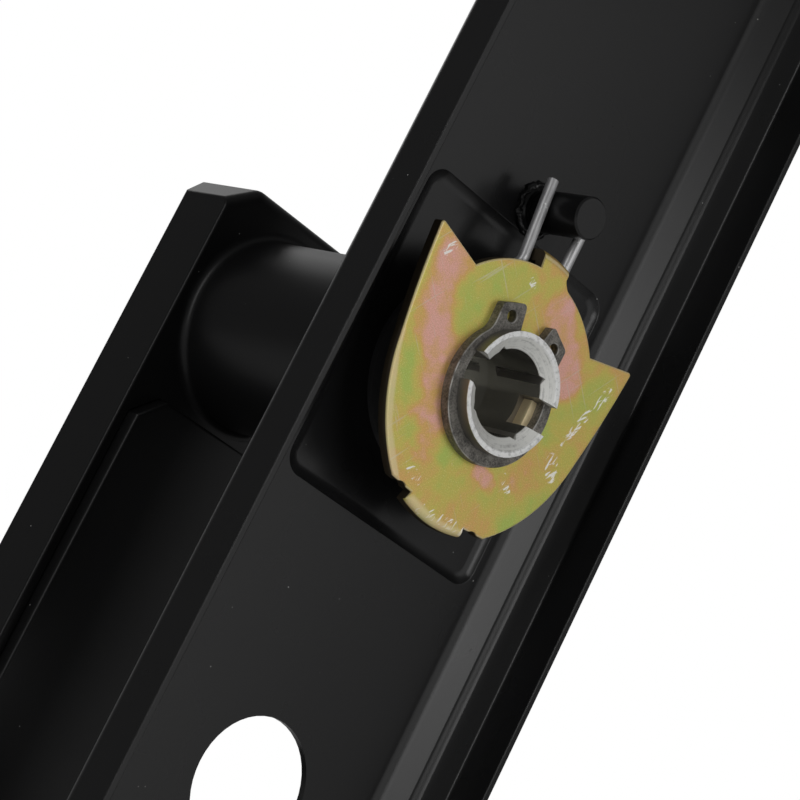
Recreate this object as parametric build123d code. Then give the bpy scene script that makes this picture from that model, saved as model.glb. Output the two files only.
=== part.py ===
"""Lever handle on a long pressed back plate, for a security door.

Every piece is drawn as seen from the door: x to the right, y up the plate, z out of the plate
towards the door. The origin lies on the lever's turning axis, in the plane of the plate's rim.
FROM_DOOR then turns the pieces so that +Z is up and +Y points into the door.
"""
import os
from math import asin, atan, cos, degrees, hypot, radians, sin, sqrt, tan

from build123d import *

# Back plate: a tray pressed from sheet, open towards the door
plate_width = 71.0
plate_top = 105.0
plate_bottom = -155.0
front_corner = 3.0
sheet = 1.2
side_depth = 7.6
bevel_run = 3.2
bevel_drop = 3.2
slope_run = 6.3
slope_drop = 3.5
side_bend = 1.2
slope_bend = 12.0
floor_bend = 5.0
rim_edge = 0.2

# Pocket drawn into the tray's floor round the turning axis
pocket_width = 45.3
pocket_height = 53.1
pocket_depth = 0.8
pocket_corner = 3.0
pocket_draft = 52.0
pocket_round = 3.2
pocket_rim_round = 0.25

# Key cylinder
cylinder_drop = 72.0
cylinder_hole = 22.8

# Welded pins and pillars on the plate
post_height = 31.6
post_diameter = 7.0
post_below_rim = 0.4
post_edge = 0.3
post_groove_up = 1.9
post_groove_width = 0.5
post_groove_depth = 0.3
weld_width = 0.9
weld_height = 1.1
pillar_from_end = 19.0
pillar_diameter = 11.0
pillar_below_rim = 0.5
thread_size = 6.0
thread_pitch = 1.0
thread_depth = 9.0

# Lever: grip, neck and shaft in one casting
grip_width = 40.0
grip_top = 21.45
grip_bottom = -118.0
grip_side_depth = 12.25
grip_bevel_run = 6.0
grip_bevel_drop = 4.8
grip_corner_run = 6.0
grip_corner_rise = 4.75
grip_corner_round = 3.0
grip_end_round = 2.0
grip_side_round = 0.6
grip_back_to_door = 62.0
neck_diameter = 33.7
neck_fillet = 1.7
shaft_diameter = 20.0
shaft_past_rim = 1.5
shaft_ring = 0.8
countersink_depth = 1.5
bore_diameter = 14.0
bore_depth = 13.5
square_side = 11.0
square_depth = 11.5
slot_width = 5.0

# Raised cover on the back of the grip, let into a shallow seat
cover_height = 2.6
cover_seat = 0.6
cover_gap = 0.25
cover_side_margin = 2.1
cover_end_margin = 4.0
cover_corner = 4.5
cover_edge = 0.6
cover_below_neck = 0.45

# Cam plate on the shaft's end
cam_thickness = 2.0
cam_below_end = 4.0
cam_top_radius = 20.9
horn_tip_across = 25.5
horn_tip_up = 16.6
horn_tip_round = 0.5
horn_root_angle = 47.5
waist_across = 22.7
waist_up = -2.2
flank_across = 24.4
flank_up = 7.2
skirt_across = 19.15
skirt_up = -12.2
skirt_end_across = 11.5
skirt_end_up = -20.85
cam_edge = 0.35
nick_radius = 1.6
nick_across = 9.1
nick_up = -22.3
lip_radius = 23.9
lip_half_angle = 17.0
lip_length = 2.2
lip_round = 1.2
driver_radius = 23.85
driver_width = 6.6
driver_length = 5.6
driver_round = 1.8
gusset_across = 5.5
gusset_rise = 0.75
gusset_hollow = 0.3
drive_tab_inner = 7.9
drive_tab_play = 0.1

# Circlip in the shaft's groove
circlip_thickness = 1.75
circlip_radial = 1.3
circlip_thicker = 1.5
circlip_lug_radius = 14.35
circlip_lug_start = 14.5
circlip_lug_end = 35.0
circlip_lug_foot = 60.0
circlip_lug_round = 0.8
circlip_root_round = 3.0
circlip_hole = 2.0
circlip_hole_radius = 12.0
circlip_hole_angle = 27.7
circlip_edge = 0.15
groove_depth = 0.75

# Return spring
wire_diameter = 1.9
coil_radius = 14.0
coil_turns = 3
coil_pitch = 2.04
leg_bend = 2.5
jog_bend = 1.6
leg_left_up = 35.2
leg_right_up = 34.4
leg_left_dip = 1.9
jog_lean = 0.49

# Bush, washer and fits
bush_wall = 2.45
bush_flange_radius = 17.0
washer_thickness = 0.8
washer_radius = 16.0
running_clearance = 0.05
end_clearance = 0.1
seat_clearance = 0.05
coil_clearance = 0.25
overrun = 1.0
match = 0.01

# Places worked out from the sizes, as z from the rim towards the door
floor_z = -(side_depth + bevel_drop + slope_drop) + sheet
front_z = floor_z - sheet
pocket_floor_z = floor_z - pocket_depth
pocket_front_z = pocket_floor_z - sheet
neck_z = pocket_front_z - washer_thickness - end_clearance
grip_back_z = -grip_back_to_door
grip_edge_z = grip_back_z - grip_side_depth
grip_front_z = grip_edge_z - grip_bevel_drop
shaft_end_z = shaft_past_rim
cam_face_z = shaft_end_z - cam_below_end
cam_under_z = cam_face_z - cam_thickness
shaft_radius = shaft_diameter / 2
bush_radius = shaft_radius + running_clearance + bush_wall
groove_radius = shaft_radius - groove_depth
wire_radius = wire_diameter / 2
leg_across = post_diameter / 2 + wire_radius + seat_clearance
coil_top_z = cam_under_z - coil_clearance - wire_radius
coil_bottom_z = coil_top_z - coil_turns * coil_pitch
plate_corner = front_corner + bevel_run + slope_run

FROM_DOOR = Plane(origin=(0, 0, 0), x_dir=(-1, 0, 0), z_dir=(0, 1, 0))
ON_BASE = (Align.CENTER, Align.CENTER, Align.MIN)
UNDER_TOP = (Align.CENTER, Align.CENTER, Align.MAX)


def disc(radius, bottom, top, x=0.0, y=0.0):
    """A round body along the turning direction, between two depths."""
    return Pos(x, y, bottom) * Cylinder(radius, top - bottom, align=ON_BASE)


def slab(sketch, bottom, top):
    """A sketch made solid between two depths."""
    return Pos(0, 0, bottom) * extrude(sketch, top - bottom)


def polar(radius, angle):
    """A point at an angle measured from straight up, towards the right."""
    return (radius * sin(radians(angle)), radius * cos(radians(angle)))


def plate_section(inset):
    """The tray's outline at one depth, drawn in from the rim by an equal margin."""
    width = plate_width - 2 * inset
    height = plate_top - plate_bottom - 2 * inset
    outline = RectangleRounded(width, height, plate_corner - inset)
    return Pos(0, (plate_top + plate_bottom) / 2) * outline


def tray_sections():
    """Insets and depths where the outside of the tray bends, from the rim to the front."""
    bevel_z = -side_depth
    slope_z = bevel_z - bevel_drop
    return [(0.0, 0.0), (0.0, bevel_z), (bevel_run, slope_z), (bevel_run + slope_run, front_z)]


def inside_of(profile, wall):
    """The same bends moved in by the sheet's thickness, square to each stretch."""
    lines = []
    for (x0, z0), (x1, z1) in zip(profile, profile[1:]):
        length = hypot(x1 - x0, z1 - z0)
        normal = (-(z1 - z0) / length, (x1 - x0) / length)
        lines.append(((x0 + wall * normal[0], z0 + wall * normal[1]), (x1 - x0, z1 - z0)))
    inner = [lines[0][0]]
    for ((ax, az), (adx, adz)), ((bx, bz), (bdx, bdz)) in zip(lines, lines[1:]):
        along = ((bx - ax) * bdz - (bz - az) * bdx) / (adx * bdz - adz * bdx)
        inner.append((ax + along * adx, az + along * adz))
    (ax, az), (adx, adz) = lines[-1]
    flat = profile[-1][1] + wall
    inner.append((ax + (flat - az) * adx / adz, flat))
    return inner


def stacked(profile, wall):
    """A solid through the tray's outlines at each bend of a profile, rounded by the bends' radii."""
    body = None
    for (inset_a, z_a), (inset_b, z_b) in zip(profile, profile[1:]):
        lower = Pos(0, 0, z_b) * plate_section(inset_b)
        upper = Pos(0, 0, z_a) * plate_section(inset_a)
        layer = loft([lower, upper], ruled=True)
        body = layer if body is None else body + layer
    for (inset, z), inside_radius in zip(profile[1:], (side_bend, slope_bend, floor_bend)):
        bend = body.edges().filter_by(lambda e: abs(e.bounding_box().min.Z - z) < match)
        bend = bend.filter_by(lambda e: e.bounding_box().size.Z < match)
        body = fillet(bend, inside_radius + wall)
    return body


def pocket_growth(z):
    """How far the drafted wall lies out from the pocket's outline at half depth."""
    return (z - floor_z + pocket_depth / 2) * tan(radians(pocket_draft))


def pocket_solid(bottom, top, wall, bottom_round):
    """The pocket's hollow, or with a wall the boss round it, with draft and a rounded bottom."""
    sections = []
    for z in (bottom, top):
        growth = pocket_growth(z) + wall / cos(radians(pocket_draft))
        width = pocket_width + 2 * growth
        height = pocket_height + 2 * growth
        sections.append(Pos(0, 0, z) * RectangleRounded(width, height, pocket_corner + growth))
    body = loft(sections, ruled=True)
    return fillet(body.faces().sort_by(Axis.Z)[0].edges(), bottom_round)


def make_back_plate():
    """The pressed tray with its drawn pocket, the bush hole and the key cylinder's hole."""
    outside = tray_sections()
    inside = inside_of(outside, sheet)
    plate = stacked(outside, sheet)
    plate += pocket_solid(pocket_front_z, floor_z, sheet, pocket_round + sheet)
    plate -= stacked(inside, 0)
    plate -= pocket_solid(pocket_floor_z, floor_z + sheet, 0, pocket_round)
    plate = fillet(plate.edges().group_by(Axis.Z)[-1], rim_edge)
    plate -= disc(bush_radius + seat_clearance, pocket_front_z - sheet, floor_z)
    plate -= disc(cylinder_hole / 2, front_z - sheet, floor_z + sheet, y=-cylinder_drop)
    reach = pocket_growth(floor_z) + match
    rim_of_pocket = plate.edges().filter_by(
        lambda e: abs(e.center().Z - floor_z) < match
        and abs(e.center().X) <= pocket_width / 2 + reach
        and abs(e.center().Y) <= pocket_height / 2 + reach
    )
    return fillet(rim_of_pocket, pocket_rim_round)


def make_spring_post():
    """The pin that the spring's legs straddle, with its weld bead on the tray's floor."""
    radius = post_diameter / 2
    pin = disc(radius, floor_z, -post_below_rim, y=post_height)
    pin = chamfer(pin.edges().sort_by(Axis.Z)[-1], post_edge)
    bead = Cone(radius + weld_width, radius, weld_height, align=ON_BASE)
    groove_z = floor_z + post_groove_up
    groove = disc(radius + overrun, groove_z, groove_z + post_groove_width, y=post_height)
    groove -= disc(radius - post_groove_depth, groove_z, groove_z + post_groove_width, y=post_height)
    return pin - groove + Pos(0, post_height, floor_z) * bead


def make_fixing_pillar(height):
    """A pillar welded to the tray's floor, tapped for the screw through the door."""
    top = -pillar_below_rim
    pillar = disc(pillar_diameter / 2, floor_z, top, y=height)
    pillar -= disc((thread_size - thread_pitch) / 2, top - thread_depth, top, y=height)
    return chamfer(pillar.edges().group_by(Axis.Z)[-1], thread_pitch / 2)


def make_bearing_bush():
    """The nylon bush in the plate, its flange on the pocket floor under the spring's coil."""
    flange_top = coil_bottom_z - wire_radius - seat_clearance
    bush = disc(bush_radius, pocket_front_z, cam_under_z - end_clearance)
    bush += disc(bush_flange_radius, pocket_floor_z, flange_top)
    return bush - disc(shaft_radius + running_clearance, neck_z, cam_under_z)


def make_neck_washer():
    """The washer between the neck's shoulder and the front of the plate."""
    washer = disc(washer_radius, pocket_front_z - washer_thickness, pocket_front_z)
    return washer - disc(shaft_radius + running_clearance, neck_z, pocket_floor_z)


def chamfered_strip(half_width, top, bottom, run, rise):
    """A long strip with its four corners cut off."""
    side = [(half_width, bottom + rise), (half_width, top - rise), (half_width - run, top)]
    right = [(half_width - run, bottom)] + side
    left = [(-x, y) for x, y in reversed(right)]
    return make_face(Polyline(*right, *left, close=True))


def cover_outline(growth):
    """The raised cover's outline, or its seat's when it is grown by the seam."""
    return chamfered_strip(
        grip_width / 2 - cover_side_margin + growth,
        -neck_diameter / 2 - neck_fillet - cover_below_neck - cover_gap + growth,
        grip_bottom + cover_end_margin - growth,
        cover_corner,
        cover_corner,
    )


def make_grip_back_cover():
    """The raised panel on the grip's back, with its upper edge rounded."""
    cover = slab(cover_outline(0), grip_back_z - cover_seat, grip_back_z + cover_height)
    return fillet(cover.faces().sort_by(Axis.Z)[-1].edges(), cover_edge)


def make_grip():
    """The flat grip: bevelled along its front edges, with its corners cut off at both ends."""
    half = grip_width / 2
    outline = chamfered_strip(half, grip_top, grip_bottom, grip_corner_run, grip_corner_rise)
    outline = fillet([v for v in outline.vertices() if abs(v.X) < half - match], grip_corner_round)
    right = [(half, grip_back_z), (half, grip_edge_z), (half - grip_bevel_run, grip_front_z)]
    left = [(-x, z) for x, z in reversed(right)]
    section = make_face(Polyline(*[(x, 0, z) for x, z in right + left], close=True))
    along = extrude(section, max(grip_top, -grip_bottom) + overrun, dir=(0, 1, 0), both=True)
    grip = slab(outline, grip_front_z, grip_back_z) & along
    back = grip.edges().group_by(Axis.Z)[-1]
    sides = back.filter_by(Axis.Y)
    grip = fillet(back - sides, grip_end_round)
    edges = [e for e in grip.edges().filter_by(Axis.Y) if abs(abs(e.center().X) - half) < match]
    return fillet(edges, grip_side_round)


def make_shaft():
    """The turned end of the lever: groove, drive slot, countersink and square socket."""
    shaft = disc(shaft_radius, neck_z, shaft_end_z)
    groove_top = cam_face_z + circlip_thickness + seat_clearance
    groove = disc(shaft_radius + overrun, cam_face_z, groove_top)
    shaft -= groove - disc(groove_radius, cam_face_z, groove_top)
    shaft -= disc(bore_diameter / 2, shaft_end_z - bore_depth, shaft_end_z)
    shaft -= slab(Rectangle(square_side, square_side), shaft_end_z - square_depth, shaft_end_z)
    sink = Cone(bore_diameter / 2, shaft_radius - shaft_ring, countersink_depth, align=UNDER_TOP)
    shaft -= Pos(0, 0, shaft_end_z) * sink
    slot = Rectangle(shaft_diameter + overrun, slot_width)
    return shaft - slab(slot, cam_under_z, shaft_end_z)


def make_lever():
    """Grip, neck and shaft in one casting, with the seat for the cover in the grip's back."""
    lever = make_grip() + disc(neck_diameter / 2, grip_back_z, neck_z)
    root = lever.edges().filter_by(GeomType.CIRCLE).filter_by(
        lambda e: abs(e.center().Z - grip_back_z) < match and abs(e.radius - neck_diameter / 2) < match
    )
    lever = fillet(root, neck_fillet)
    lever -= slab(cover_outline(cover_gap), grip_back_z - cover_seat, grip_back_z + cover_height)
    return lever + make_shaft()


def bent_edge(radius, half_angle, length, fold_round):
    """An edge of the cam bent down along an arc about the axis, with a rounded fold."""
    web = shaft_radius + cam_thickness
    inner = radius - cam_thickness
    end_z = cam_face_z - length
    outside = [(web, cam_face_z), (radius, cam_face_z), (radius, end_z)]
    inside = [(inner, end_z), (inner, cam_under_z), (web, cam_under_z)]
    section = make_face(Polyline(*[(x, 0, z) for x, z in outside + inside], close=True))
    bent = revolve(section, Axis.Z, 2 * half_angle)
    fold = bent.edges().filter_by(GeomType.CIRCLE).filter_by(
        lambda e: abs(e.radius - radius) < match and abs(e.center().Z - cam_face_z) < match
    )
    return Rot(0, 0, -half_angle) * fillet(fold, fold_round)


def cam_outline():
    """The cam's flat outline: a round head, two horns, hollow flanks and a round skirt."""
    lip_root = lip_radius - cam_thickness
    root = polar(cam_top_radius, horn_root_angle)
    tip = (horn_tip_across, horn_tip_up)
    waist = (waist_across, waist_up)
    skirt = (skirt_across, skirt_up)
    skirt_end = (skirt_end_across, skirt_end_up)
    right = Curve() + ThreePointArc((0, cam_top_radius), polar(cam_top_radius, horn_root_angle / 2), root)
    right += Line(root, tip)
    right += ThreePointArc(tip, (flank_across, flank_up), waist)
    right += ThreePointArc(waist, skirt, skirt_end)
    right += Line(skirt_end, (0, -lip_root))
    return make_face([*right.edges(), *mirror(right, Plane.YZ).edges()])


def driver_gusset():
    """The hollow curve that leads from the head into one side of the driver tab."""
    top_up = cam_top_radius + gusset_rise
    top = (driver_width / 2 * top_up / driver_radius, top_up)
    foot = (gusset_across, sqrt(cam_top_radius ** 2 - gusset_across ** 2) - cam_edge)
    curve = SagittaArc(foot, top, gusset_hollow)
    return make_face([curve, *Polyline(top, (0, top_up), (0, foot[1]), foot).edges()])


def make_cam_plate():
    """The pressed cam with its horns, bent driver and lip, and the drive tabs in the shaft's slot."""
    cam = slab(cam_outline(), cam_under_z, cam_face_z)
    tips = cam.edges().filter_by(Axis.Z)
    tips = tips.filter_by(lambda e: abs(abs(e.center().X) - horn_tip_across) < match)
    cam = fillet(tips, horn_tip_round)
    cam = fillet(cam.faces().sort_by(Axis.Z)[-1].edges(), cam_edge)
    for side in (-1, 1):
        cam -= disc(nick_radius, cam_under_z, cam_face_z, x=side * nick_across, y=nick_up)
    driver_angle = degrees(asin(driver_width / 2 / driver_radius))
    cam += Rot(0, 0, 90) * bent_edge(driver_radius, driver_angle, driver_length, driver_round)
    cam += slab(driver_gusset(), cam_under_z, cam_face_z)
    cam += Rot(0, 0, -90) * bent_edge(lip_radius, lip_half_angle, lip_length, lip_round)
    cam -= disc(shaft_radius + seat_clearance, cam_under_z, cam_face_z)
    tab_length = shaft_radius + cam_thickness - drive_tab_inner
    for side in (-1, 1):
        middle = side * (drive_tab_inner + tab_length / 2)
        tab = Pos(middle, 0) * Rectangle(tab_length, slot_width - 2 * drive_tab_play)
        cam += slab(tab, cam_under_z, cam_face_z)
    return cam


def make_circlip():
    """The retaining ring: thickest opposite its gap, with a holed lug at each end."""
    inner = groove_radius + seat_clearance
    lowered = circlip_thicker / 2
    outer_radius = inner + circlip_radial + lowered
    body = Pos(0, -lowered) * Circle(outer_radius)
    for side in (-1, 1):
        outer = [polar(circlip_lug_radius, side * angle) for angle in (circlip_lug_start, circlip_lug_end)]
        foot = [polar(inner, side * angle) for angle in (circlip_lug_foot, circlip_lug_start)]
        lug = make_face(Polyline(*outer, *foot, close=True))
        outer_corners = [v for v in lug.vertices() if hypot(v.X, v.Y) > circlip_lug_radius - match]
        body += fillet(outer_corners, circlip_lug_round)
    on_ring = [v for v in body.vertices() if abs(hypot(v.X, v.Y + lowered) - outer_radius) < match]
    roots = [v for v in on_ring if v.Y > 0 and abs(v.X) > inner * sin(radians(circlip_lug_end))]
    body = fillet(roots, circlip_root_round)
    body -= Circle(inner)
    gap = [polar(2 * circlip_lug_radius, side * circlip_lug_start) for side in (-1, 1)]
    body -= make_face(Polyline((0, 0), *gap, close=True))
    for side in (-1, 1):
        body -= Pos(*polar(circlip_hole_radius, side * circlip_hole_angle)) * Circle(circlip_hole / 2)
    ring = slab(body, cam_face_z, cam_face_z + circlip_thickness)
    return chamfer(ring.faces().sort_by(Axis.Z)[-1].edges(), circlip_edge)


def bend_angle():
    """How far from straight up the wire leaves the coil to bend into a leg."""
    return degrees(asin((leg_across - leg_bend) / (coil_radius + leg_bend)))


def coil_arcs():
    """The coil in half turns, each an arc tilted by its share of the pitch, so that they meet smoothly."""
    reach = hypot(coil_radius, coil_pitch / 4)
    start = bend_angle()
    arcs = [ThreePointArc(*[(*polar(coil_radius, angle), coil_bottom_z) for angle in (-start, 0, start)])]
    for half_turn in range(2 * coil_turns):
        angle = start + 180 * half_turn
        z = coil_bottom_z + half_turn * coil_pitch / 2
        low = (*polar(coil_radius, angle), z)
        middle = (*polar(reach, angle + 90), z + coil_pitch / 4)
        high = (*polar(coil_radius, angle + 180), z + coil_pitch / 2)
        arcs.append(ThreePointArc(low, middle, high))
    return arcs


def make_return_spring():
    """The wire: down the left leg and its jog, round the coil and out along the right leg."""
    leg_up = sqrt((coil_radius + leg_bend) ** 2 - (leg_across - leg_bend) ** 2)
    coil = coil_arcs()
    right_root = (leg_across, leg_up, coil_top_z)
    right_bend = TangentArc(coil[-1] @ 1, right_root, tangent=coil[-1] % 1)
    right_leg = Line(right_root, (leg_across, leg_right_up, coil_top_z))
    left_root = (-leg_across, leg_up, coil_bottom_z)
    left_bend = TangentArc(coil[0] @ 0, left_root, tangent=-(coil[0] % 0))
    jog_start = leg_up + jog_bend * tan(atan(1 / jog_lean) / 2) + seat_clearance
    jog_end = jog_start + jog_lean * (coil_top_z - coil_bottom_z)
    left_leg = FilletPolyline(
        left_root,
        (-leg_across, jog_start, coil_bottom_z),
        (-leg_across, jog_end, coil_top_z),
        (-leg_across, leg_left_up, coil_top_z - leg_left_dip),
        radius=jog_bend,
    )
    path = Wire([*left_leg.edges(), left_bend, *coil, right_bend, right_leg])
    start = Plane(origin=path @ 0, z_dir=path % 0)
    return sweep(start * Circle(wire_radius), path=path)


pieces = {
    "back_plate": make_back_plate(),
    "spring_post": make_spring_post(),
    "fixing_pillar_upper": make_fixing_pillar(plate_top - pillar_from_end),
    "fixing_pillar_lower": make_fixing_pillar(plate_bottom + pillar_from_end),
    "bearing_bush": make_bearing_bush(),
    "neck_washer": make_neck_washer(),
    "lever": make_lever(),
    "grip_back_cover": make_grip_back_cover(),
    "cam_plate": make_cam_plate(),
    "circlip": make_circlip(),
    "return_spring": make_return_spring(),
}

os.makedirs("parts", exist_ok=True)
for name, piece in pieces.items():
    export_step(FROM_DOOR * piece, f"parts/{name}.step")
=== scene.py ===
# %% [markdown]
# # A lever door handle, seen from its door side
# The handle is a black lever on a long pressed plate. Its working parts show: a yellow zinc cam, a
# circlip, a turned shaft end and a spring with two legs round a post. The solids come from the CAD
# model and fix every size and place. This lesson gives them their surfaces, edges, marks and light.

# %% Load the solids
from math import cos, pi, radians

import bpy
from mathutils import Matrix, Vector


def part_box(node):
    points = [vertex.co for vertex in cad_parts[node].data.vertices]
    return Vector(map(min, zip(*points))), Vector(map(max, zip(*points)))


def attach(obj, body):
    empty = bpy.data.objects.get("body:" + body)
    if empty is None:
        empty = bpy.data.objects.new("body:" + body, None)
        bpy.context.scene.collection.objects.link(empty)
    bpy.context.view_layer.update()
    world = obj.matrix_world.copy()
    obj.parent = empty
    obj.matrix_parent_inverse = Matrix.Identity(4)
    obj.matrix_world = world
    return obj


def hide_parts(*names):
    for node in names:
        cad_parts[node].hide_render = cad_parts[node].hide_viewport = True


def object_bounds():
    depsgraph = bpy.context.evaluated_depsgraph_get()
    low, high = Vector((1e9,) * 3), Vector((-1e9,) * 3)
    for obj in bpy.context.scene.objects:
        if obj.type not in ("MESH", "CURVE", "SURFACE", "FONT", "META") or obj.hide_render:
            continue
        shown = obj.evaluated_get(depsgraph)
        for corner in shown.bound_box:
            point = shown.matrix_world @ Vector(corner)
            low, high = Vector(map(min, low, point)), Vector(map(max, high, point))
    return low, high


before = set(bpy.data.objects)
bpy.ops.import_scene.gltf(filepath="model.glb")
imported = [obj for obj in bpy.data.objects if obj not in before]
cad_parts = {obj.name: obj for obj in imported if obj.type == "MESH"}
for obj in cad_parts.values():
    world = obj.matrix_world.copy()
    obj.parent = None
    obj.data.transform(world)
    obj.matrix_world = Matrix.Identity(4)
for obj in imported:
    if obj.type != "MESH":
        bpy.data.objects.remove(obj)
cad_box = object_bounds()
MM = 0.001


def in_mm(box):
    """A box's two corners in millimetres, for printing."""
    return [[round(c / MM, 1) for c in corner] for corner in box]


print("solids:", sorted(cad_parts))
print("box in mm:", in_mm(cad_box))

# %% [markdown]
# ## The camera
# A long lens looks at the door side from a little below, with the picture turned so that the plate
# runs from corner to corner. The camera's own right and up directions say that more plainly than
# three angles would, so its matrix is built from them.

# %% Place the camera
camera_place = Vector((285.46, 306.27, -96.94)) * MM
picture_right = Vector((-0.61444, 0.65632, 0.43784))
picture_up = Vector((0.45883, -0.15420, 0.87504))
lens_mm = 123.68
sensor_mm = 36.0
nearest_seen = 10 * MM

bpy.ops.object.select_all(action="DESELECT")
bpy.ops.object.camera_add()
camera = bpy.context.object
camera.name = "camera"
picture_back = picture_right.cross(picture_up)
turn = Matrix((picture_right, picture_up, picture_back)).transposed()
camera.matrix_world = Matrix.LocRotScale(camera_place, turn, None)
camera.data.lens = lens_mm
camera.data.sensor_width = sensor_mm
camera.data.clip_start = nearest_seen
bpy.context.scene.camera = camera
print("camera looks along", [round(c, 3) for c in -picture_back])

# %% [markdown]
# ## Shader maths
# A finish is a formula: this much dust here, a scratch there, brighter where the edge is rounded.
# One small class wraps a node's output, so that such a formula can be written as Python maths.
# Every operation adds a Math node. Any other node comes from the method called node.

# %% A node's output that takes part in maths
class Value:
    """One output of a shader node. Maths on it adds Math nodes to the same tree."""

    def __init__(self, tree, socket=None):
        self.tree = tree
        self.socket = socket

    def node(self, kind, output=0, settings=None, inputs=None):
        """Add a node: its settings first, then the values or links of its sockets."""
        made = self.tree.nodes.new("ShaderNode" + kind)
        for name, setting in (settings or {}).items():
            if name == "stops":
                fill_ramp(made.color_ramp, setting)
            else:
                setattr(made, name, setting)
        for key, value in (inputs or {}).items():
            if isinstance(value, Value):
                self.tree.links.new(value.socket, made.inputs[key])
            else:
                made.inputs[key].default_value = value
        return Value(self.tree, made.outputs[output])

    def out(self, name):
        """Another output of the same node."""
        return Value(self.tree, self.socket.node.outputs[name])

    def math(self, operation, first, second=0.0):
        return self.node("Math", settings={"operation": operation}, inputs={0: first, 1: second})

    def __add__(self, other):
        return self.math("ADD", self, other)

    def __sub__(self, other):
        return self.math("SUBTRACT", self, other)

    def __rsub__(self, other):
        return self.math("SUBTRACT", other, self)

    def __mul__(self, other):
        return self.math("MULTIPLY", self, other)

    def __truediv__(self, other):
        return self.math("DIVIDE", self, other)

    def __pow__(self, other):
        return self.math("POWER", self, other)

    def larger(self, other):
        return self.math("MAXIMUM", self, other)

    def sine(self):
        return self.math("SINE", self)

    __radd__ = __add__
    __rmul__ = __mul__


def fill_ramp(ramp, stops):
    """Set a colour ramp's stops, given in rising order."""
    ramp.elements[0].position = stops[0][0]
    ramp.elements[1].position = stops[-1][0]
    for place, _ in stops[1:-1]:
        ramp.elements.new(place)
    for element, (_, colour) in zip(ramp.elements, stops):
        element.color = (*colour, 1.0)


# %% [markdown]
# ## Patterns
# The finishes share a few patterns: soft steps, cloudy noise, marks that run one way, and lines
# between two points of the cam's face. Places come in metres from the object's own coordinates.

# %% Steps, noise, lines and materials
def fade(value, start, end):
    """0 where the value is at start, 1 where it is at end, and smooth between them."""
    return value.node(
        "MapRange",
        settings={"interpolation_type": "SMOOTHSTEP"},
        inputs={"Value": value, "From Min": start, "From Max": end},
    )


def noise(place, per_metre=1.0, detail=2.0, roughness=0.5):
    """Cloudy noise from 0 to 1, with this many features to a metre of the coordinates."""
    return place.node(
        "TexNoise",
        inputs={"Vector": place, "Scale": per_metre, "Detail": detail, "Roughness": roughness},
    )


def mix(factor, first, second):
    """A colour between two colours."""
    colours = [c if isinstance(c, Value) else (*c, 1.0) for c in (first, second)]
    return factor.node(
        "Mix", 2, settings={"data_type": "RGBA"}, inputs={0: factor, 6: colours[0], 7: colours[1]}
    )


def axes(place):
    """The three coordinates of a place."""
    x = place.node("SeparateXYZ", "X", inputs={0: place})
    return x, x.out("Y"), x.out("Z")


def facing_door(place):
    """1 where a surface faces the door, 0 where it stands across, -1 where it faces away."""
    return axes(place.node("NewGeometry", "Normal"))[1]


def stretched(place, turn_degrees, per_metre):
    """Coordinates turned about the handle's axis and scaled apart, for marks that run one way."""
    rotation = (0.0, radians(turn_degrees), 0.0)
    turned = place.node("Mapping", inputs={"Vector": place, "Rotation": rotation})
    return turned.node("Mapping", inputs={"Vector": turned, "Scale": per_metre})


def near_line(x, z, start, end, width):
    """1 on the line between two points across the handle, fading to 0 at this distance from it."""
    step_x, step_z = end[0] - start[0], end[1] - start[1]
    from_x, from_z = x - start[0], z - start[1]
    along = (from_x * step_x + from_z * step_z) / (step_x ** 2 + step_z ** 2)
    along = along.node("Clamp", inputs={"Value": along})
    off_x, off_z = from_x - along * step_x, from_z - along * step_z
    return fade(off_x * off_x + off_z * off_z, width ** 2, 0.0)


def near_lines(x, z, lines):
    """The strongest of several lines."""
    strongest = near_line(x, z, *lines[0])
    for line in lines[1:]:
        strongest = strongest.larger(near_line(x, z, *line))
    return strongest


def bump(height, strength, distance):
    """A surface normal tilted by a height pattern."""
    inputs = {"Height": height, "Strength": strength, "Distance": distance}
    return height.node("Bump", inputs=inputs)


def new_finish(title):
    """A new material, and the object's own coordinates in it."""
    material = bpy.data.materials.new(title)
    material.use_nodes = True
    return material, Value(material.node_tree).node("TexCoord", "Object")


def set_surface(material, sockets):
    """Give the material's surface shader its values and links."""
    shader = material.node_tree.nodes["Principled BSDF"]
    for name, value in sockets.items():
        if isinstance(value, Value):
            material.node_tree.links.new(value.socket, shader.inputs[name])
        else:
            shader.inputs[name].default_value = value
    print("finish:", material.name, "with", len(material.node_tree.nodes), "nodes")


print("patterns are ready")

# %% [markdown]
# ## The studio
# Black satin shows little of its own colour. What the eye reads is the light that its faces mirror,
# so each face of the tray needs its own part of the studio: a soft lamp where the floor and the cam
# mirror it, a stronger one where the sloped side does, a strip for the edges, and darkness where
# the steep side looks. Two weak lamps stand on the other side, for the front of the handle.
# The camera sees plain white behind the handle. Glossy faces see a part of that white, and only
# straight behind the handle, as from a paper backdrop.

# %% White backdrop, dim room
backdrop_direction = Vector(-picture_back)
backdrop_edge = cos(radians(52.0))
backdrop_core = cos(radians(30.0))
room_grey = 0.26
room_mirrored = 0.14
backdrop_mirrored = 0.38

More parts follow.
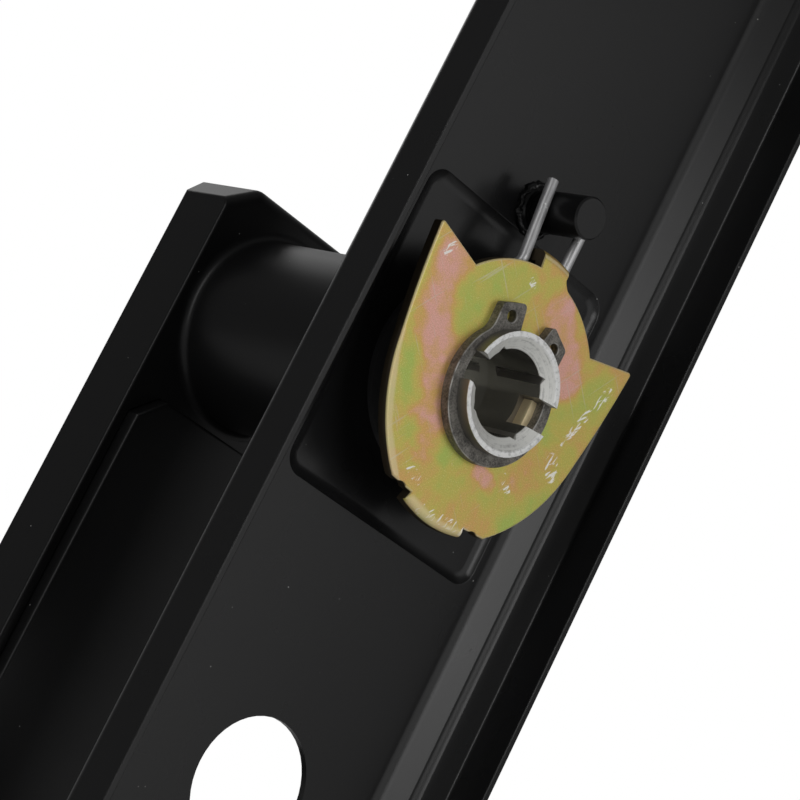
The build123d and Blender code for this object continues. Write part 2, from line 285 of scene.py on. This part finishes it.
world = bpy.data.worlds.new("studio")
world.use_nodes = True
bpy.context.scene.world = world
sky = Value(world.node_tree)
looks = sky.node("LightPath", "Is Camera Ray")
mirrored = looks.out("Is Glossy Ray").larger(looks.out("Is Transmission Ray"))
direction = sky.node("TexCoord", "Generated")
towards = direction.node(
    "VectorMath",
    "Value",
    settings={"operation": "DOT_PRODUCT"},
    inputs={0: direction, 1: backdrop_direction},
)
backdrop = fade(towards, backdrop_edge, backdrop_core)
room = room_grey - mirrored * (room_grey - room_mirrored)
level = room + looks.larger(mirrored * backdrop * backdrop_mirrored) * (1.0 - room)
background = world.node_tree.nodes["Background"]
background.inputs["Color"].default_value = (1.0, 1.0, 1.0, 1.0)
world.node_tree.links.new(level.socket, background.inputs["Strength"])
print("world:", world.name)

# %% Soft lamps
# Each lamp: its direction from the handle, its distance, width and height in metres, its brightness
lamps = {
    "floor_softbox": ((-0.43, 0.89, 0.15), 0.75, 0.44, 0.62, 0.98),
    "slope_softbox": ((0.12, 0.97, 0.16), 0.80, 0.26, 0.34, 4.9),
    "edge_strip": ((0.95, 0.26, 0.18), 0.80, 0.10, 0.70, 6.5),
    "front_softbox": ((-0.10, -0.87, 0.47), 0.80, 0.36, 0.40, 0.6),
    "top_strip": ((0.15, -0.62, 0.77), 0.80, 0.22, 0.30, 0.4),
}
for title, (way, distance, width, height, brightness) in lamps.items():
    bpy.ops.object.light_add(type="AREA")
    lamp = bpy.context.object
    lamp.name = title
    lamp.data.shape = "RECTANGLE"
    lamp.data.size = width
    lamp.data.size_y = height
    lamp.data.energy = brightness * pi * width * height
    place = Vector(way).normalized() * distance
    lamp.matrix_world = Matrix.LocRotScale(place, Vector(way).to_track_quat("Z", "Y"), None)
    print("lamp:", title, "at", [round(c, 2) for c in place])

# %% Pale floor
floor_below = 4 * MM
floor_radius = 0.62
paper_dark = (0.91, 0.91, 0.91)
paper_light = (0.94, 0.94, 0.94)

bpy.ops.object.select_all(action="DESELECT")
bpy.ops.mesh.primitive_circle_add(
    vertices=96,
    radius=floor_radius,
    fill_type="NGON",
    location=(0.0, 0.0, cad_box[0][2] - floor_below),
)
floor = bpy.context.object
floor.name = "floor"
bpy.ops.object.transform_apply(location=True)
floor_paper, place = new_finish("floor_paper")
paper = mix(noise(place, per_metre=300.0, detail=3.0), paper_dark, paper_light)
set_surface(floor_paper, {"Base Color": paper, "Roughness": 0.8})
floor.data.materials.append(floor_paper)

# %% [markdown]
# ## Dressed copies of the solids
# A solid arrives as loose triangles, so its round faces look cut like a gem. A copy is merged into
# one skin, flat neighbours are joined, and its normals are smoothed except across sharp edges.
# Weighted normals keep the large flat faces flat beside their small rounded edges.

# %% Copying a solid
merge_distance = 0.001 * MM
flat_angle = radians(0.3)
sharp_degrees = 32.0
large_face_weight = 80


def select_only(piece):
    """Make one object the selected and active one."""
    bpy.ops.object.select_all(action="DESELECT")
    piece.select_set(True)
    bpy.context.view_layer.objects.active = piece


def merged_copy(node, title):
    """A copy of a solid's skin, with its loose triangles merged and its flat faces joined."""
    piece = bpy.data.objects.new(title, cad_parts[node].data.copy())
    bpy.context.scene.collection.objects.link(piece)
    piece.data.materials.clear()
    select_only(piece)
    bpy.ops.object.mode_set(mode="EDIT")
    bpy.ops.mesh.select_all(action="SELECT")
    bpy.ops.mesh.remove_doubles(threshold=merge_distance)
    bpy.ops.mesh.dissolve_limited(angle_limit=flat_angle)
    bpy.ops.object.mode_set(mode="OBJECT")
    return piece


def finish_piece(piece, material, body, smooth_degrees=sharp_degrees):
    """Smooth a piece's shading, give it its finish and let it ride on its body."""
    select_only(piece)
    if piece.data.has_custom_normals:
        bpy.ops.mesh.customdata_custom_splitnormals_clear()
    bpy.ops.object.shade_smooth_by_angle(angle=radians(smooth_degrees))
    weighted = piece.modifiers.new("weighted", "WEIGHTED_NORMAL")
    weighted.keep_sharp = True
    weighted.weight = large_face_weight
    bpy.ops.object.modifier_apply(modifier=weighted.name)
    piece.data.materials.clear()
    piece.data.materials.append(material)
    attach(piece, body)
    print("piece:", piece.name, "with", len(piece.data.polygons), "faces")


def dress(node, material, body, smooth_degrees=sharp_degrees):
    """A merged copy that stands for its solid."""
    piece = merged_copy(node, node + "_skin")
    finish_piece(piece, material, body, smooth_degrees)
    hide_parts(node)


print("solids can be copied and dressed")

# %% [markdown]
# ## Black powder coat
# The plate and the lever have a satin black coat. Close up it has a fine orange-peel skin, a cloudy
# change of gloss and a few grains of white dust. The dust is cut out of a cell pattern: only the
# spots nearest to a cell's middle count, and a flat face meets few of them. On the plate, the press
# tool left a faint raised line along each side.

# %% The coat and its dust
DUST = (0.30, 0.30, 0.29)
cloud_lift = 1.25
peel_height = 0.003
press_line_width = 0.8
press_line_height = 0.05


def make_black_coat(title, coat, roughness, gloss_index, press_line=None):
    """A satin black coat with dust, and press lines this many millimetres from the middle."""
    material, place = new_finish(title)
    cloud = noise(place, per_metre=30.0, detail=4.0)
    peel = noise(place, per_metre=1900.0)
    cells = place.node("TexVoronoi", "Distance", inputs={"Vector": place, "Scale": 260.0})
    dusty_patches = fade(noise(place, per_metre=45.0), 0.46, 0.54)
    dust = fade(cells, 0.034, 0.020) * dusty_patches
    worn = fade(noise(place, per_metre=900.0, detail=3.0), 0.72, 0.80)
    cloudy_coat = mix(cloud, coat, [cloud_lift * c for c in coat])
    height = peel * peel_height
    if press_line:
        across = axes(place)[0] / MM
        off = (across * across) ** 0.5 - press_line
        height = height + fade(off * off, press_line_width ** 2, 0.0) * press_line_height
    set_surface(
        material,
        {
            "Base Color": mix(dust, cloudy_coat, DUST),
            "Roughness": roughness + 0.08 * cloud + 0.06 * worn + 0.3 * dust,
            "IOR": gloss_index,
            "Normal": bump(height, strength=1.0, distance=MM),
        },
    )
    return material


plate_coat = make_black_coat(
    "plate_coat", (0.0060, 0.0060, 0.0062), roughness=0.24, gloss_index=1.36, press_line=30.7
)
lever_coat = make_black_coat(
    "lever_coat", (0.0045, 0.0045, 0.0047), roughness=0.32, gloss_index=1.33
)

# %% The plate, the grip's cover and the post
dress("back_plate", plate_coat, "plate")
dress("grip_back_cover", lever_coat, "handle")
dress("spring_post", plate_coat, "plate")

# %% [markdown]
# ## The weld round the post's foot
# The post is welded to the plate by hand, so its foot has a lumpy bead under the paint. The bead is
# a ring, pushed in and out by a cloud pattern about as coarse as a weld's ripples.

# %% The weld bead
bead_radius = 0.62 * MM
bead_lumps = 1.0 * MM
bead_grain = 0.75 * MM
bead_rise = bead_radius / 4
foot_low, foot_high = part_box("spring_post")
foot_radius = (foot_high.x - foot_low.x) / 2

bpy.ops.object.select_all(action="DESELECT")
bpy.ops.mesh.primitive_torus_add(
    major_radius=foot_radius - bead_radius / 2,
    minor_radius=bead_radius,
    major_segments=120,
    minor_segments=20,
)
weld_bead = bpy.context.object
weld_bead.name = "weld_bead"
weld_bead.rotation_euler.x = radians(90.0)
weld_bead.location = (0.0, foot_low.y + bead_rise, (foot_low.z + foot_high.z) / 2)
bpy.ops.object.transform_apply(location=True, rotation=True)
bead_clouds = bpy.data.textures.new("bead_clouds", "CLOUDS")
bead_clouds.noise_scale = bead_grain
lumps = weld_bead.modifiers.new("lumps", "DISPLACE")
lumps.texture = bead_clouds
lumps.texture_coords = "LOCAL"
lumps.strength = bead_lumps
bpy.ops.object.modifier_apply(modifier=lumps.name)
finish_piece(weld_bead, plate_coat, "plate", smooth_degrees=70.0)

# %% [markdown]
# ## The lever's casting and its turned end
# Grip, neck and shaft are one casting, but the shaft's end is turned bare and the rest is painted.
# The skin is cut at the neck's shoulder into two closed pieces, each with a finish of its own.

# %% Cut the lever's skin at the shoulder
shoulder_margin = 0.05 * MM


def cap_open_ends(piece):
    """Close each open ring of a piece with a face."""
    select_only(piece)
    bpy.ops.object.mode_set(mode="EDIT")
    bpy.ops.mesh.select_mode(type="EDGE")
    bpy.ops.mesh.select_all(action="DESELECT")
    bpy.ops.mesh.select_non_manifold(extend=False)
    bpy.ops.mesh.edge_face_add()
    bpy.ops.mesh.select_all(action="SELECT")
    bpy.ops.mesh.normals_make_consistent(inside=False)
    bpy.ops.object.mode_set(mode="OBJECT")


shoulder_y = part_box("neck_washer")[0].y - shoulder_margin
lever_casting = merged_copy("lever", "lever_casting")
for face in lever_casting.data.polygons:
    face.select = face.center.y > shoulder_y
for edge in lever_casting.data.edges:
    edge.select = False
for vertex in lever_casting.data.vertices:
    vertex.select = False
bpy.ops.object.mode_set(mode="EDIT")
bpy.ops.mesh.select_mode(type="FACE")
bpy.ops.mesh.separate(type="SELECTED")
bpy.ops.object.mode_set(mode="OBJECT")
lever_shaft = [o for o in bpy.context.selected_objects if o != lever_casting][0]
lever_shaft.name = "lever_shaft"
for piece in (lever_casting, lever_shaft):
    cap_open_ends(piece)
print("shaft faces:", len(lever_shaft.data.polygons))

# %% [markdown]
# ## Turned steel
# The shaft's end is bare metal: a bright ring on its end, a countersink with lathe rings, sides
# painted a darker grey as the shade of the dark room they mirror, and a darker bore. Distance from
# the turning axis tells these zones apart, so one formula of radius and depth paints them all.

# %% The shaft's finish
# The sides' greys are darker than the end's: painted shade, for the dark room the sides mirror
SHADED_SIDE_DARK, SHADED_SIDE_LIGHT = (0.20, 0.19, 0.175), (0.32, 0.305, 0.28)
CONE_DARK, CONE_LIGHT = (0.34, 0.34, 0.325), (0.66, 0.66, 0.63)
RING_DARK, RING_LIGHT = (0.48, 0.48, 0.47), (0.76, 0.76, 0.75)
# The bore is given a darker grey than the turned end
DARKER_BORE = (0.34, 0.335, 0.30)
tool_pitch = 0.22 * MM
rings_around = 160.0

# Where each zone starts and where it is full: radius from the axis, or height along it
bore_radius = (7.15 * MM, 6.9 * MM)
sink_inner_radius = (6.9 * MM, 7.2 * MM)
sink_outer_radius = (9.75 * MM, 9.6 * MM)
sink_height = (-0.3 * MM, 0.1 * MM)
end_ring_height = (1.30 * MM, 1.45 * MM)


def make_turned_steel():
    """Bare turned metal: bright end ring, ringed countersink, grey sides darkened as painted shade,
    darker bore.
    """
    material, place = new_finish("turned_steel")
    x, y, z = axes(place)
    radius = (x * x + z * z) ** 0.5
    end_ring = fade(y, *end_ring_height)
    sink = fade(radius, *sink_inner_radius) * fade(radius, *sink_outer_radius)
    sink = sink * fade(y, *sink_height)
    bore = fade(radius, *bore_radius)
    around = radius.node(
        "CombineXYZ",
        inputs={"X": radius / tool_pitch, "Y": x * rings_around, "Z": z * rings_around},
    )
    rings = noise(around, detail=3.0, roughness=0.6)
    waver = noise(place, per_metre=300.0) * 3.0
    turning = (y * (2 * pi / tool_pitch) + waver).sine() * 0.5 + 0.5
    smear = noise(place, per_metre=1300.0, detail=4.0, roughness=0.6)
    side = mix(turning, SHADED_SIDE_DARK, SHADED_SIDE_LIGHT)
    cone = mix(fade(rings * 0.6 + smear * 0.4, 0.30, 0.52), CONE_DARK, CONE_LIGHT)
    bright = mix(fade(smear, 0.30, 0.55), RING_DARK, RING_LIGHT)
    height = rings * sink + turning * (1 - sink) * 0.5 + smear * 0.6
    set_surface(
        material,
        {
            "Base Color": mix(bore, mix(end_ring, mix(sink, side, cone), bright), DARKER_BORE),
            "Metallic": 0.9 - 0.45 * sink,
            "Roughness": 0.30 + 0.12 * smear + 0.15 * sink - 0.25 * bore,
            "Normal": bump(height, strength=0.5, distance=0.04 * MM),
        },
    )
    return material


turned_steel = make_turned_steel()
finish_piece(lever_casting, lever_coat, "handle")
finish_piece(lever_shaft, turned_steel, "handle")
for piece in (lever_casting, lever_shaft):
    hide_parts("lever")

# %% [markdown]
# ## Yellow zinc
# The cam is pressed steel with yellow passivated zinc. The passivate is a thin film, so its gold
# drifts to green, orange and pink in clouds. Rounded edges are rubbed pale and carry a painted
# highlight, sheared sides carry painted shade, and the face has hairlines and a few hard white
# scratches where other steel slid over it.

# %% The cam's colours and marks
GREEN = (0.45, 0.56, 0.12)
GOLD = (0.62, 0.53, 0.12)
ORANGE = (0.71, 0.42, 0.14)
PINK = (0.80, 0.42, 0.35)
LILAC = (0.80, 0.46, 0.43)
film_stops = [(0.20, GREEN), (0.44, GOLD), (0.60, ORANGE), (0.76, PINK), (0.98, LILAC)]
GRIME = (0.40, 0.31, 0.12)
MATT_DARK, MATT_LIGHT = (0.30, 0.24, 0.10), (0.92, 0.86, 0.66)
CLEAN_GOLD = (0.84, 0.70, 0.44)
HAIRLINE = (0.62, 0.58, 0.46)
BARE_ZINC = (0.90, 0.89, 0.84)
# Pale gold for rubbed edges: partly real rub wear, partly a painted highlight
RUBBED_GOLD_HIGHLIGHT = (0.70, 0.59, 0.34)
# Near-black for the cam's sheared sides: painted shade, darker than the bare steel itself
SHEARED_SIDE_SHADE = (0.055, 0.042, 0.026)

# Lines across the face, in millimetres: the two ends as x and z, and the width.
# They say where the film is pink or green, where an edge is rubbed and carries a painted highlight,
# and where scratches lie.
pink_lines = [
    ((20.0, 13.0), (16.9, 1.5), 5.0),
    ((16.9, 1.5), (9.0, -13.0), 5.0),
    ((-5.0, 16.8), (-12.8, 8.2), 4.2),
    ((-4.4, -12.8), (-7.2, -13.1), 2.6),
]
green_lines = [
    ((13.9, 10.5), (13.9, 6.5), 4.0),
    ((12.3, 13.4), (4.6, 16.2), 3.8),
    ((21.6, 1.0), (15.6, -8.8), 3.0),
    ((12.0, -12.6), (2.4, -13.0), 3.0),
    ((-21.2, 11.9), (-14.1, 0.4), 3.4),
    ((-20.0, -11.5), (-15.6, -16.8), 4.0),
]
# Edges along the flanks and bottom painted pale: partly rub wear, partly a painted highlight
rubbed_highlight_lines = [
    ((23.0, -1.4), (21.7, -5.6), 0.8),
    ((21.7, -5.6), (18.9, -11.4), 0.9),
    ((18.9, -11.4), (16.6, -15.2), 0.9),
    ((16.6, -15.2), (11.3, -20.5), 0.9),
    ((5.7, -22.4), (-0.3, -23.4), 1.2),
    ((-0.3, -23.4), (-6.2, -22.6), 1.2),
]
scratch_lines = [
    ((-22.5, 11.4), (-20.8, 7.5), 1.1),
    ((-20.8, 7.5), (-18.0, 0.0), 0.9),
    ((-17.6, -3.8), (-18.8, -5.6), 1.7),
    ((-9.2, -10.4), (-11.7, -12.3), 0.8),
    ((21.2, 14.2), (22.1, 12.8), 0.9),
    ((4.7, 18.2), (2.9, 17.5), 0.8),
    ((9.6, -18.0), (6.6, -19.2), 1.0),
    ((3.2, -22.6), (-7.4, -21.6), 1.1),
]

# The cam's inner tabs lie in the shaft's slot, and the disc lies outside it.
# Each zone: the squared radius in millimetres where it starts, and where it is full
inside_slot = (10.4 ** 2, 10.0 ** 2)
outside_slot = (10.6 ** 2, 11.0 ** 2)
print("lines on the cam:", len(pink_lines + green_lines + rubbed_highlight_lines + scratch_lines))

# %% The cam's finish
cam_face_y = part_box("cam_plate")[1].y


def make_yellow_zinc():
    """Yellow passivated zinc: a cloudy film of colours, pale rubbed edges with a painted highlight,
    sides darkened with painted shade, and scratches.
    """
    material, place = new_finish("yellow_zinc")
    across, depth, up = axes(place)
    x, z = across / MM, up / MM
    below_face = (cam_face_y - depth) / MM
    squared_radius = x * x + z * z
    facing = facing_door(place)

    # The film: clouds of colour, drawn towards pink and green along their lines
    wander = noise(place, per_metre=230.0, detail=3.0) * 4.0 - 2.0
    pink = near_lines(x + wander, z - wander, pink_lines)
    green = near_lines(x - wander, z + wander, green_lines)
    clouds = noise(place, per_metre=150.0, detail=4.0, roughness=0.55)
    flecks = noise(place, per_metre=620.0, detail=5.0, roughness=0.75)
    tone = clouds * 0.75 + flecks * 0.32 - 0.05 + 0.26 * pink - 0.19 * green
    film = tone.node("ValToRGB", settings={"stops": film_stops}, inputs={0: tone})
    grain = noise(place, per_metre=1500.0, detail=3.0, roughness=0.7)
    film = mix(fade(grain, 0.36, 0.20) * 0.5, film, GRIME)
    matt = noise(place, per_metre=5200.0, roughness=0.7)
    film = mix(fade(matt, 0.60, 0.36) * 0.30, film, MATT_DARK)
    film = mix(fade(matt, 0.54, 0.74) * 0.30, film, MATT_LIGHT)
    film = mix(fade(squared_radius, *inside_slot), film, CLEAN_GOLD)

    # The wear and painted light: fine hairlines, hard scratches, rubbed edges with a painted
    # highlight, and sheared sides with painted shade
    hairs = noise(stretched(place, 35.0, (2600.0, 900.0, 70.0)), detail=1.0)
    more_hairs = noise(stretched(place, -50.0, (2300.0, 900.0, 60.0)), detail=1.0)
    hairlines = fade(hairs.larger(more_hairs), 0.68, 0.76) * fade(clouds, 0.35, 0.60)
    strokes = noise(stretched(place, 10.0, (2300.0, 900.0, 330.0)))
    cross_strokes = noise(stretched(place, 42.0, (2100.0, 900.0, 360.0)))
    touched = fade(near_lines(x, z, scratch_lines) + flecks - 0.5, 0.12, 0.40)
    scratches = fade(strokes.larger(cross_strokes), 0.57, 0.63) * touched
    # Pale edges: the rounded top edge all round and the listed flank lines are partly rub wear and
    # partly a painted highlight
    worn = near_lines(x, z, rubbed_highlight_lines) * fade(below_face, 1.2, 0.8)
    rubbed_and_highlit = (fade(facing, 0.995, 0.93) * fade(below_face, 0.5, 0.3)).larger(worn)
    # The sides below the face are painted near-black as their shade
    sheared_side_shade = fade(facing, 0.45, 0.25) * fade(below_face, 0.2, 0.5)
    sheared_side_shade = sheared_side_shade * fade(squared_radius, *outside_slot)

    colour = mix(hairlines * 0.55, film, HAIRLINE)
    colour = mix(scratches * 0.85, colour, BARE_ZINC)
    colour = mix(rubbed_and_highlit * 0.65, colour, RUBBED_GOLD_HIGHLIGHT)
    height = grain * 0.4 + scratches * 0.8 - hairlines * 0.3
    set_surface(
        material,
        {
            "Base Color": mix(sheared_side_shade, colour, SHEARED_SIDE_SHADE),
            "Metallic": 0.75 - 0.45 * scratches.larger(rubbed_and_highlit),
            "Roughness": 0.40 + 0.10 * grain + 0.12 * scratches + 0.15 * sheared_side_shade,
            "Normal": bump(height, strength=0.18, distance=0.03 * MM),
        },
    )
    return material


dress("cam_plate", make_yellow_zinc(), "handle", smooth_degrees=40.0)

# %% [markdown]
# ## Phosphated circlip, drawn wire, nylon and plated pillars
# The circlip is stamped spring steel with a dark phosphate skin that is rubbed bright on its edges,
# and painted brighter there as a highlight.
# The spring is bare drawn wire: its streaks follow the legs. The pillars are plated steel with a
# tapped hole, and a wave down the hole gives the thread. The bush and washer are plain nylon.

# %% The small parts' finishes
PHOSPHATE_DARK, PHOSPHATE_LIGHT = (0.055, 0.052, 0.047), (0.235, 0.222, 0.20)
# Bright steel for the circlip's edges: partly rub wear, partly a painted highlight
RUBBED_STEEL_HIGHLIGHT = (0.42, 0.41, 0.385)
WIRE_DARK, WIRE_LIGHT = (0.28, 0.28, 0.29), (0.52, 0.52, 0.52)
WIRE_NICK = (0.72, 0.72, 0.71)
NYLON_DARK, NYLON_LIGHT = (0.020, 0.020, 0.021), (0.032, 0.032, 0.033)
PLATED_DARK, PLATED_LIGHT = (0.42, 0.42, 0.43), (0.60, 0.60, 0.60)
thread_pitch = 1.0 * MM
tapped_half_width = (3.6 * MM, 3.0 * MM)


def make_phosphate():
    """Dark phosphated steel with bright rubbed edges that also carry a painted highlight."""
    material, place = new_finish("phosphate")
    facing = facing_door(place)
    # Sloped edge faces painted bright: partly real rub wear, partly a painted highlight
    rubbed_and_highlit = fade(facing, 0.30, 0.55) * fade(facing, 0.97, 0.85)
    grain = noise(place, per_metre=2600.0, detail=5.0, roughness=0.75)
    cloud = noise(place, per_metre=420.0, detail=4.0, roughness=0.6)
    skin = mix(fade(grain * 0.6 + cloud * 0.4, 0.36, 0.64), PHOSPHATE_DARK, PHOSPHATE_LIGHT)
    set_surface(
        material,
        {
            "Base Color": mix(rubbed_and_highlit * fade(cloud, 0.3, 0.6), skin, RUBBED_STEEL_HIGHLIGHT),
            "Metallic": 0.7,
            "Roughness": 0.48 + 0.14 * grain - 0.15 * rubbed_and_highlit,
            "Normal": bump(grain, strength=0.5, distance=0.04 * MM),
        },
    )
    return material


def make_drawn_wire():
    """Bare drawn spring wire with streaks along its legs."""
    material, place = new_finish("drawn_wire")
    streaks = noise(stretched(place, 0.0, (3200.0, 3200.0, 90.0)))
    nicks = fade(noise(place, per_metre=1100.0, detail=3.0), 0.66, 0.74)
    set_surface(
        material,
        {
            "Base Color": mix(nicks, mix(streaks, WIRE_DARK, WIRE_LIGHT), WIRE_NICK),
            "Metallic": 0.60,
            "Roughness": 0.34 + 0.14 * streaks,
            "Normal": bump(streaks, strength=0.25, distance=0.02 * MM),
        },
    )
    return material


def make_nylon():
    """Matt moulded black nylon."""
    material, place = new_finish("black_nylon")
    grain = noise(place, per_metre=2200.0, detail=3.0)
    set_surface(
        material,
        {
            "Base Color": mix(grain, NYLON_DARK, NYLON_LIGHT),
            "Roughness": 0.55 + 0.1 * grain,
            "Normal": bump(grain, strength=0.2, distance=0.02 * MM),
        },
    )
    return material


def make_plated_steel():
    """Zinc-plated steel, with the wave of a thread in the tapped holes."""
    material, place = new_finish("plated_steel")
    x, y, _ = axes(place)
    grain = noise(place, per_metre=900.0, detail=4.0)
    thread = (y * (2 * pi / thread_pitch)).sine()
    hole = fade(x * x, *(half ** 2 for half in tapped_half_width))
    set_surface(
        material,
        {
            "Base Color": mix(grain, PLATED_DARK, PLATED_LIGHT),
            "Metallic": 0.9,
            "Roughness": 0.34 + 0.12 * grain,
            "Normal": bump(grain * 0.1 + thread * hole, strength=0.5, distance=0.15 * MM),
        },
    )
    return material


# %% Dress the small parts
dress("circlip", make_phosphate(), "handle")
dress("return_spring", make_drawn_wire(), "plate", smooth_degrees=50.0)
nylon = make_nylon()
dress("bearing_bush", nylon, "plate")
dress("neck_washer", nylon, "plate")
plated_steel = make_plated_steel()
for node in ("fixing_pillar_upper", "fixing_pillar_lower"):
    dress(node, plated_steel, "plate")

# %% [markdown]
# ## Picture settings and the end
# The standard view shows colours about as they are written.

# %% Settings
bpy.context.scene.view_settings.view_transform = "Standard"
bpy.context.view_layer.update()
